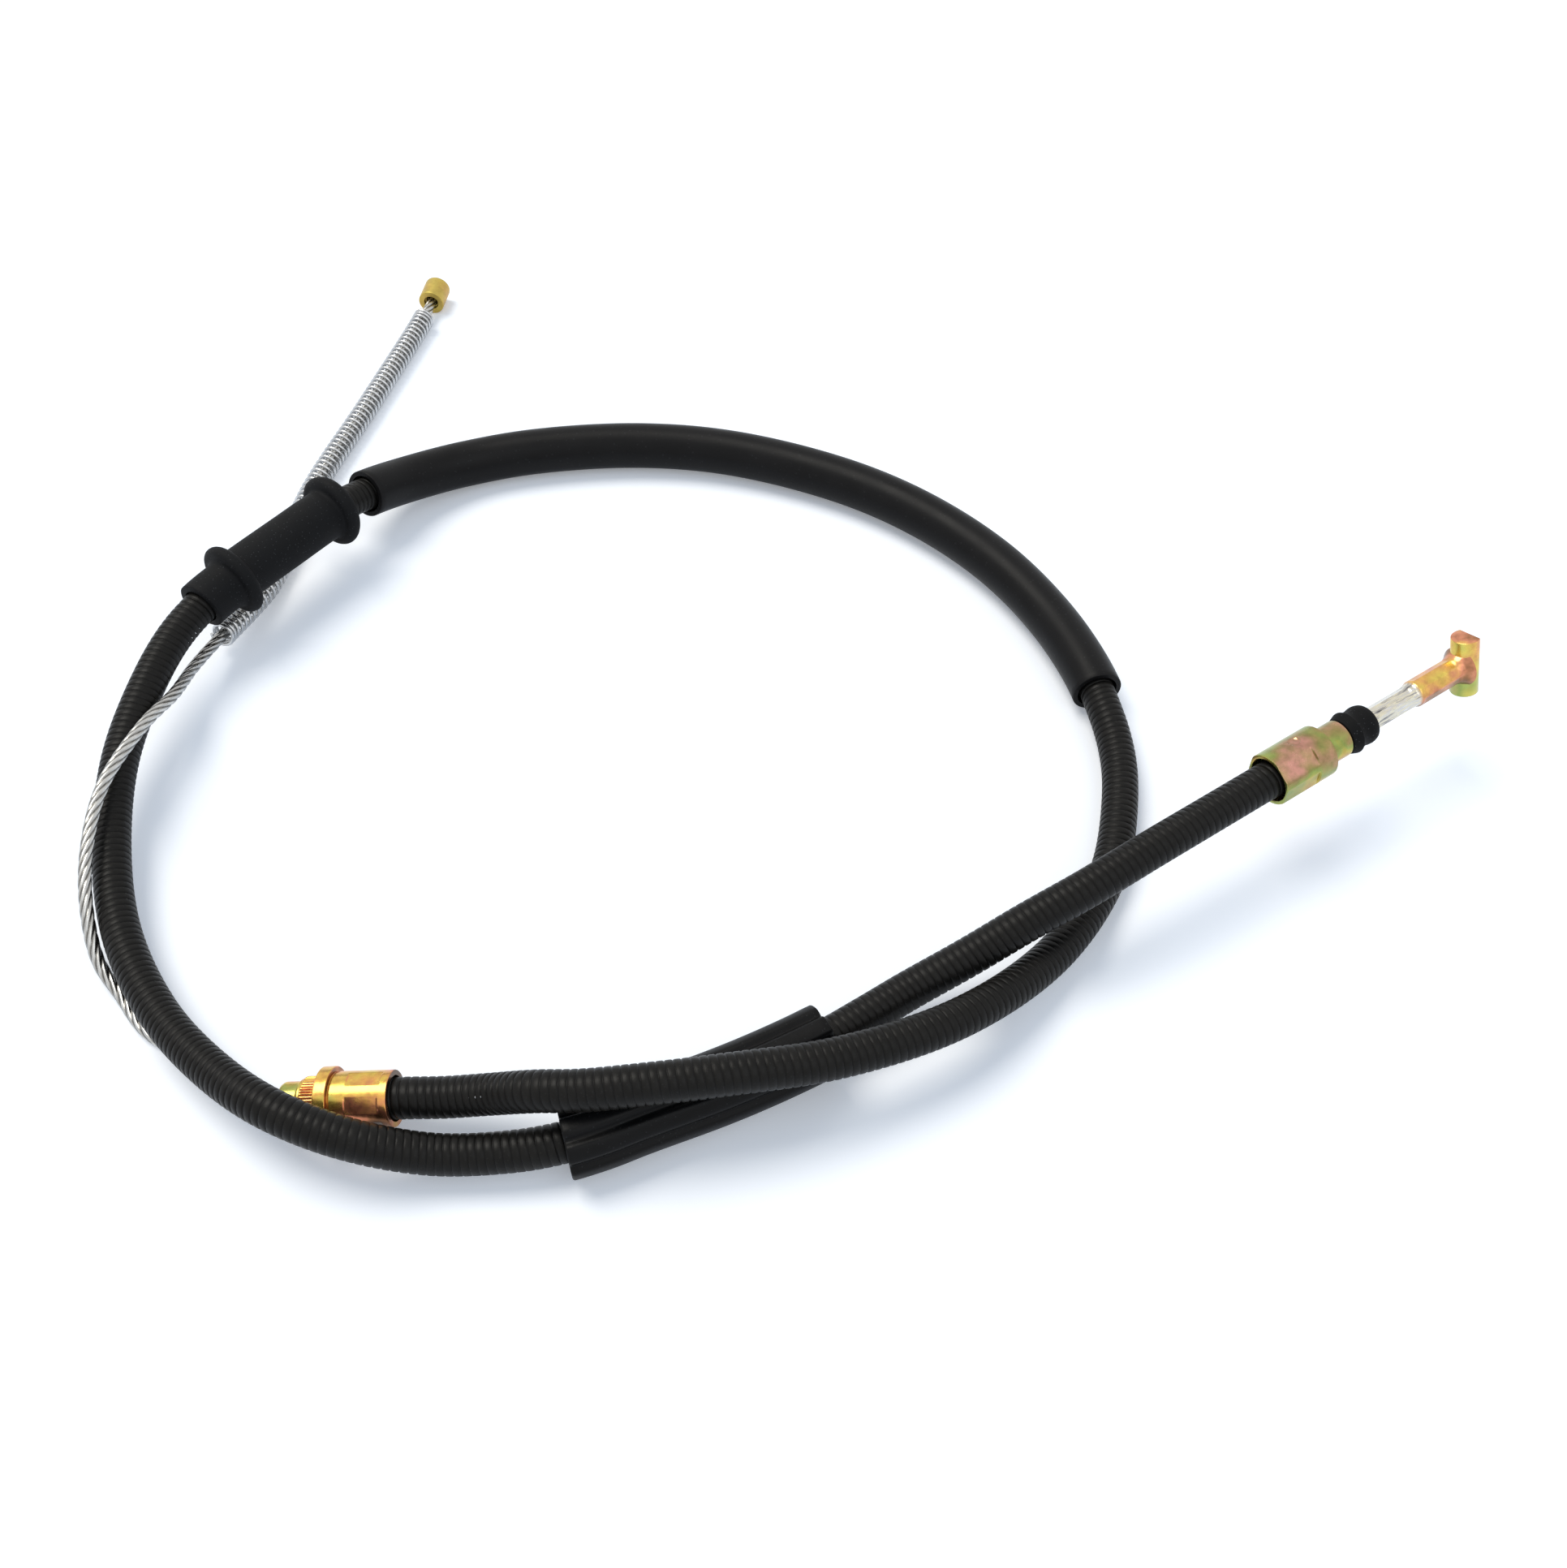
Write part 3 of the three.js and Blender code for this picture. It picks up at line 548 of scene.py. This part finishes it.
print("spring")
spring = {"coil": 3.4, "wire": 0.55, "from": 1451.2, "to": 1627.0, "pitch": 2.32, "closedTurns": 2,
          "closedPitch": 1.45, "perTurn": 28, "sides": 8}
drawn = spring["closedTurns"] * spring["closedPitch"]
openLength = spring["to"] - spring["from"] - 2 * drawn
openTurns = round(openLength / spring["pitch"])
coilTurns = openTurns + 2 * spring["closedTurns"]
turnStops = [0, spring["closedTurns"], spring["closedTurns"] + openTurns, coilTurns]
placeStops = [0, drawn, drawn + openLength, drawn * 2 + openLength]
t = np.linspace(0, coilTurns, int(coilTurns * spring["perTurn"]))
place = spring["from"] + np.interp(t, turnStops, placeStops)
index = np.round(place * 2).astype(int)
tangent = heading[index]
side = np.cross((0, 0, 1), tangent)
side /= np.linalg.norm(side, axis=1)[:, None]
lift = np.cross(side, tangent)
core = onRoute(place)[0]
angle = (t * 2 * math.pi)[:, None]
outward = side * np.cos(angle) + lift * np.sin(angle)
wire = core + outward * spring["coil"] * 0.001
run = np.gradient(wire, axis=0)
run /= np.linalg.norm(run, axis=1)[:, None]
cross = np.cross(run, outward)
ring = (np.arange(spring["sides"]) / spring["sides"] * 2 * math.pi)[None, :, None]
skin = outward[:, None] * np.cos(ring) - cross[:, None] * np.sin(ring)
rows = wire[:, None] + skin * spring["wire"] * 0.001
coil = grid("return_coil", rows, caps=True)
dressed(coil, "conduit", ["return_spring"], springSteel, 50)

print("fittings")
# T end: D bar, eight-sided shank, pressed barrel
tEnd = {"barRadius": 4.0, "barLength": 18.2, "barFlat": 1.8, "lean": 18, "shank": 3.95, "shankFlat": 3.72,
        "shankEnd": 21.0, "barrel": 3.4, "barrelFlat": 2.98, "barrelEnd": 55.5, "sealAt": 38.4}
start, tangent, up, side = straightFrom(0)
lean = math.radians(tEnd["lean"])
barAxis = up * math.cos(lean) + side * math.sin(lean)
barSide = np.cross(barAxis, tangent)
section = []
cut = math.acos(tEnd["barFlat"] / tEnd["barRadius"])
for k in range(41):
    a = -math.pi + cut + (2 * math.pi - 2 * cut) * k / 40
    section.append((tEnd["barRadius"] * math.cos(a), tEnd["barRadius"] * math.sin(a)))
for k in range(1, 8):  # the flat, from one edge to the other
    f = k / 8
    a, b = section[40], section[0]
    section.append((a[0] + (b[0] - a[0]) * f, a[1] + (b[1] - a[1]) * f))
section = np.array(section)
half = tEnd["barLength"] / 2
rows = []
for height, shrink in ((-half, 0.94), (-half + 0.12, 0.985), (-half + 0.3, 1.0), (0, 1.0),
                       (half - 0.25, 1.0), (half - 0.08, 0.985), (half, 0.95)):
    p = section * shrink
    rows.append(start + (tangent * p[:, :1] + barSide * p[:, 1:] + barAxis * height) * 0.001)
ends = np.ones((len(rows), len(section)))
bar = grid("t_bar", np.array(rows), caps=True, facts={"rub": ends * 0, "bar": ends})
dressed(bar, "t_end", [], tEndPlating, 40)


def shankShape(radius, reach, turn):
    inside = blendStep(reach, 5.6, tEnd["shankEnd"] - 0.7, 0.8)
    planed = flatted(radius, turn, tEnd["shankFlat"], [-2.5 + 45 * k for k in range(8)], 23)
    radius = radius + (planed - radius) * inside
    pressed = flatted(radius, turn, tEnd["barrelFlat"], [-9 + 60 * k for k in range(6)], 25)
    inside = blendStep(reach, tEnd["shankEnd"] + 1.5, tEnd["sealAt"] - 1.0, 1.0)
    return radius + (pressed - radius) * inside, reach


end, barrelEnd = tEnd["shankEnd"], tEnd["barrelEnd"]
profile = denser([(3.0, 0.5), (5.9, 1.9), (5.2, 3.0), (4.6, 4.0), (4.15, 5.1), (tEnd["shank"], 6.2),
                  (tEnd["shank"], end - 0.45), (tEnd["shank"] - 0.15, end - 0.1), (3.55, end + 0.15),
                  (tEnd["barrel"], end + 0.5), (tEnd["barrel"], barrelEnd - 0.5), (3.0, barrelEnd),
                  (2.1, barrelEnd), (2.1, 12.0)], 0.45)
shank = turnedOn("t_shank", 0, profile, 96, shankShape, loop=False)
reach = np.zeros(len(shank.data.vertices), np.float32)
shank.data.attributes["reach"].data.foreach_get("value", reach)
rub = np.clip((reach - end + 0.25) / 0.5, 0, 1)
layer = shank.data.attributes.new("rub", "FLOAT", "POINT")
layer.data.foreach_set("value", rub.astype(np.float32))
dressed(shank, "t_end", ["t_end_fitting"], tEndPlating, 35)

# Dust seal on the neck of the arm ferrule
sealProfile = rounded([(3.62, -10.1), (4.6, -10.1), (5.4, -9.4), (5.78, -8.0), (5.72, -6.8), (5.45, -5.6),
                       (5.55, -4.4), (5.95, -3.3), (6.28, -2.8), (6.1, -2.3), (5.35, -0.25), (5.2, 0),
                       (4.5, 0), (4.5, -5.5), (3.7, -7.4), (3.62, -10.1)], 0.9)
sealEnd = 48.5
seal = turnedOn("rubber_seal", sealEnd, denser(sealProfile, 0.5), 72)
dressed(seal, "conduit", ["dust_seal"], sealRubber, 60)

# Ferrule on the arm
armFerrule = {"at": 48.8, "neck": -5.6, "neckRadius": 4.2, "bore": 3.8, "collar": 5.4, "step": 7.8,
              "radius": 7.55, "length": 26.3, "mouth": 6.4, "seat": 5.7, "seatFrom": 9.7, "crimp": 12.2, "flat": 6.98,
              "flats": [-32.5, -92.5, 87.5, 147.5], "punch": 1.45,
              "punchAngle": 20, "punchAt": 10.1}


def armShape(radius, reach, turn):
    f = armFerrule
    outer = radius > f["mouth"] + 0.2
    planed = flatted(radius, turn, f["flat"], f["flats"], 22.5)
    inside = np.clip((reach - (f["length"] - f["crimp"])) / 0.12, 0, 1)
    radius = np.where(outer, radius + (planed - radius) * inside, radius)
    across = np.radians((np.degrees(turn) - f["punchAngle"] + 180) % 360 - 180) * f["radius"]
    away = np.hypot(across, (reach - (f["length"] - f["punchAt"])) * 0.82)
    dent = np.clip((f["punch"] + 0.12 - away) / 0.24, 0, 1)
    return np.where(outer, radius - 0.42 * dent, radius), reach


f = armFerrule
front, length, tail = f["step"], f["length"], f["radius"]
corners = rounded([
    (f["bore"], f["neck"]), (f["neckRadius"], f["neck"]), (f["neckRadius"], 0), (f["collar"], 0),
    (f["collar"], front), (tail, front), (tail, length), (f["mouth"], length), (f["mouth"], length - 4),
    (f["seat"], length - 6), (f["seat"], f["seatFrom"]), (f["bore"], f["seatFrom"]),
    (f["bore"], f["neck"])], 0.35)
profile = denser(corners, 0.22)
arm = turnedOn("arm_ferrule", armFerrule["at"], profile, 128, armShape)
dressed(arm, "conduit", ["ferrule_a"], ferruleAPlating, 32)

# Ferrule at the bare strand
endFerrule = {"flat": 6.72, "flats": [17 + 60 * k for k in range(6)], "from": 2.1, "to": 10.9, "teeth": 48,
              "splineFrom": 18.5, "splineTo": 22.9, "mouth": 5.75}


def endShape(radius, reach, turn):
    f = endFerrule
    outer = radius > f["mouth"] + 0.25
    planed = flatted(radius, turn, f["flat"], f["flats"], 30)
    inside = blendStep(reach, f["from"], f["to"], 0.25)
    radius = np.where(outer, radius + (planed - radius) * inside, radius)
    tooth = np.abs(((turn * f["teeth"] / (2 * math.pi)) % 1) - 0.5) * 2
    cut = blendStep(reach, f["splineFrom"] + 0.05, f["splineTo"], 0.35) * (radius > 5.2)
    return radius - 0.32 * cut * (1 - np.clip(tooth * 1.6, 0, 1)), reach


corners = rounded([(5.75, 0), (7.1, 0), (7.1, 14.8), (6.85, 15.0), (6.85, 15.2), (8.4, 15.2), (8.4, 18.5),
                   (6.1, 18.5), (6.1, 22.9), (5.5, 23.0), (5.5, 24.0), (4.9, 24.2), (4.9, 28.4), (4.4, 29.3),
                   (3.15, 29.6), (3.15, 14.3), (5.75, 14.3), (5.75, 0)], 0.3)
crimped = turnedOn("end_ferrule", tailB, denser(corners, 0.25), 192, endShape)
dressed(crimped, "conduit", ["ferrule_b"], ferruleBPlating, 32)

# Nipple
nippleSize = {"at": 1636.0, "radius": 4.7, "length": 9.6, "bore": 2.6}
radius, length, bore = nippleSize["radius"], nippleSize["length"], nippleSize["bore"]
nippleProfile = rounded([(2.2, 1.4), (bore, 1.2), (bore, 0), (radius, 0), (radius, length), (0.4, length),
                         (0.05, length)], 0.35)
nipple = turnedOn("strand_nipple", nippleSize["at"], denser(nippleProfile, 0.5), 64, loop=False)
dressed(nipple, "conduit", ["end_nipple"], nipplePlating, 35)

print("sleeve, grommet, tube")
sleeve = {"from": 217.2, "to": 288.0, "radius": 9.8, "groove": 8.5, "bore": 6.0, "lobes": 8, "turned": 16}


def closedSkin(name, outer, inner, sides):  # outer and inner: (station, radius function)
    stations = [a for a, _ in outer] + [a for a, _ in inner]
    shapes = [b for _, b in outer] + [b for _, b in inner]
    turn = np.arange(sides) / sides * 2 * math.pi
    rows = []
    for station, shape in zip(stations, shapes):
        c, u, w = onRoute(station)
        r = np.broadcast_to(shape(turn), turn.shape)[:, None] * 0.001
        rows.append(c + (u * np.cos(turn)[:, None] + w * np.sin(turn)[:, None]) * r)
    return grid(name, np.array(rows), loop=True)


def lobeAt(trim):
    def shape(turn):
        valley = np.cos((turn - math.radians(sleeve["turned"])) * sleeve["lobes"] / 2) ** 8
        return sleeve["radius"] - trim - (sleeve["radius"] - sleeve["groove"]) * valley
    return shape


outer = [(sleeve["from"], lobeAt(0.5)), (sleeve["from"] + 0.15, lobeAt(0.15)),
         (sleeve["from"] + 0.5, lobeAt(0))]
outer += [(x, lobeAt(0)) for x in np.linspace(sleeve["from"] + 2, sleeve["to"] - 2, 30)]
outer += [(sleeve["to"] - 0.5, lobeAt(0)), (sleeve["to"] - 0.15, lobeAt(0.15)), (sleeve["to"], lobeAt(0.5))]
inner = [(x, lambda turn: sleeve["bore"]) for x in np.linspace(sleeve["to"], sleeve["from"], 12)]
lobed = closedSkin("lobed_sleeve", outer, inner, 144)
dressed(lobed, "conduit", ["ribbed_sleeve"], sleeveRubber, 45)


def constant(value):
    return lambda turn: value


grommet = {"start": 558.5, "tail": 7.7, "flangeA": 572.2, "flangeB": 613.2, "flange": 11.6, "width": 4.4,
           "body": 8.15, "bore": 5.65}
begin = grommet["start"]
profile = [(begin, grommet["tail"] - 0.25), (begin + 0.2, grommet["tail"]), (begin + 9.5, grommet["tail"]),
           (begin + 10.4, grommet["tail"] + 0.15)]
for at in (grommet["flangeA"], grommet["flangeB"]):
    half = grommet["width"] / 2
    edge = grommet["flange"]
    profile += [(at - half - 0.5, grommet["body"] - 0.05), (at - half, 8.7), (at - half, 9.4)]
    profile += [(at - half * math.cos(math.radians(a)), edge - half * 1.05 * (1 - math.sin(math.radians(a))))
                for a in range(15, 180, 15)]
    profile += [(at + half, 9.4), (at + half, 8.7)]
    if at == grommet["flangeA"]:
        profile += [(at + half + 0.6, grommet["body"] + 0.05), (at + half + 3, grommet["body"]),
                    (grommet["flangeB"] - half - 3, grommet["body"])]
profile += [(grommet["flangeB"] + half, grommet["bore"]), (begin, grommet["bore"])]
profile = denser([(r, st) for st, r in profile], 1.2)
grommetObj = closedSkin("rubber_grommet", [(st, constant(r)) for r, st in profile], [], 72)
dressed(grommetObj, "conduit", ["grommet"], grommetRubber, 60)

tube = {"from": 628.5, "to": 928.3, "radius": 7.6, "bore": 6.1, "edge": 0.15}
wall, edge = constant(tube["radius"]), constant(tube["radius"] - tube["edge"])
outer = [(tube["from"], edge), (tube["from"] + 0.2, wall)]
outer += [(x, wall) for x in np.linspace(tube["from"] + 2, tube["to"] - 2, 110)]
outer += [(tube["to"] - 0.2, wall), (tube["to"], edge)]
inner = [(x, constant(tube["bore"])) for x in np.linspace(tube["to"], tube["from"], 60)]
tubeObj = closedSkin("plain_tube", outer, inner, 48)
dressed(tubeObj, "conduit", ["protective_tube"], tubePlastic, 50)

print("hidden layers")
for name, look in (("conduit_armour", springSteel), ("conduit_liner", None)):
    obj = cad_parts[name]
    obj.data.materials.clear()
    if look is None:
        look, tree, shader = newMaterial("liner_plastic")
        g = addNode(tree, "ShaderNodeGroup", node_tree=grain)
        pale = mixColour(tree, g.outputs["Mottle"], (0.66, 0.65, 0.6), (0.8, 0.79, 0.75))
        tree.links.new(pale, shader.inputs["Base Color"])
        shader.inputs["Roughness"].default_value = 0.4
    obj.data.materials.append(look)

print("stage")
floorMesh = bpy.data.meshes.new("floor")
floorMesh.from_pydata([(-6, -6, 0), (6, -6, 0), (6, 6, 0), (-6, 6, 0)], [], [(0, 1, 2, 3)])
floor = bpy.data.objects.new("floor", floorMesh)
scene.collection.objects.link(floor)
paper, tree, shader = newMaterial("paper")
shader.inputs["Base Color"].default_value = (0.94, 0.94, 0.95, 1)
shader.inputs["Roughness"].default_value = 1.0
shader.inputs["Specular IOR Level"].default_value = 0.0
floorMesh.materials.append(paper)


def seenRays(tree):  # rays that look at the surroundings: camera, glossy, transmission
    rays = addNode(tree, "ShaderNodeLightPath")
    seen = mathNode(tree, "MAXIMUM", rays.outputs["Is Camera Ray"], rays.outputs["Is Glossy Ray"])
    return mathNode(tree, "MAXIMUM", seen, rays.outputs["Is Transmission Ray"])


shader.inputs["Emission Color"].default_value = (1, 1, 1, 1)
tree.links.new(mathNode(tree, "MULTIPLY", seenRays(tree), 0.23), shader.inputs["Emission Strength"])

world = bpy.data.worlds.new("studio")
scene.world = world
world.use_nodes = True
tree = world.node_tree
tree.nodes.clear()
out = addNode(tree, "ShaderNodeOutputWorld")
room = addNode(tree, "ShaderNodeBackground", {"Color": (0.64, 0.79, 1.0, 1), "Strength": 0.57})
white = addNode(tree, "ShaderNodeBackground", {"Color": (1, 1, 1, 1), "Strength": 1.0})
blend = addNode(tree, "ShaderNodeMixShader")
tree.links.new(seenRays(tree), blend.inputs[0])
tree.links.new(room.outputs[0], blend.inputs[1])
tree.links.new(white.outputs[0], blend.inputs[2])
tree.links.new(blend.outputs[0], out.inputs[0])


def sunLight(name, place, angle, strength, colour):  # even over the whole floor
    data = bpy.data.lights.new(name, "SUN")
    data.angle = math.radians(angle)
    data.energy = strength
    data.color = colour
    obj = bpy.data.objects.new(name, data)
    scene.collection.objects.link(obj)
    obj.location = place
    obj.rotation_euler = (-Vector(place)).to_track_quat("-Z", "Y").to_euler()


sunLight("key", (-0.45, 0.3, 1.05), 34, 1.75, (1.0, 0.965, 0.89))
sunLight("fill", (0.5, -0.5, 0.9), 45, 0.36, (0.9, 0.95, 1.0))
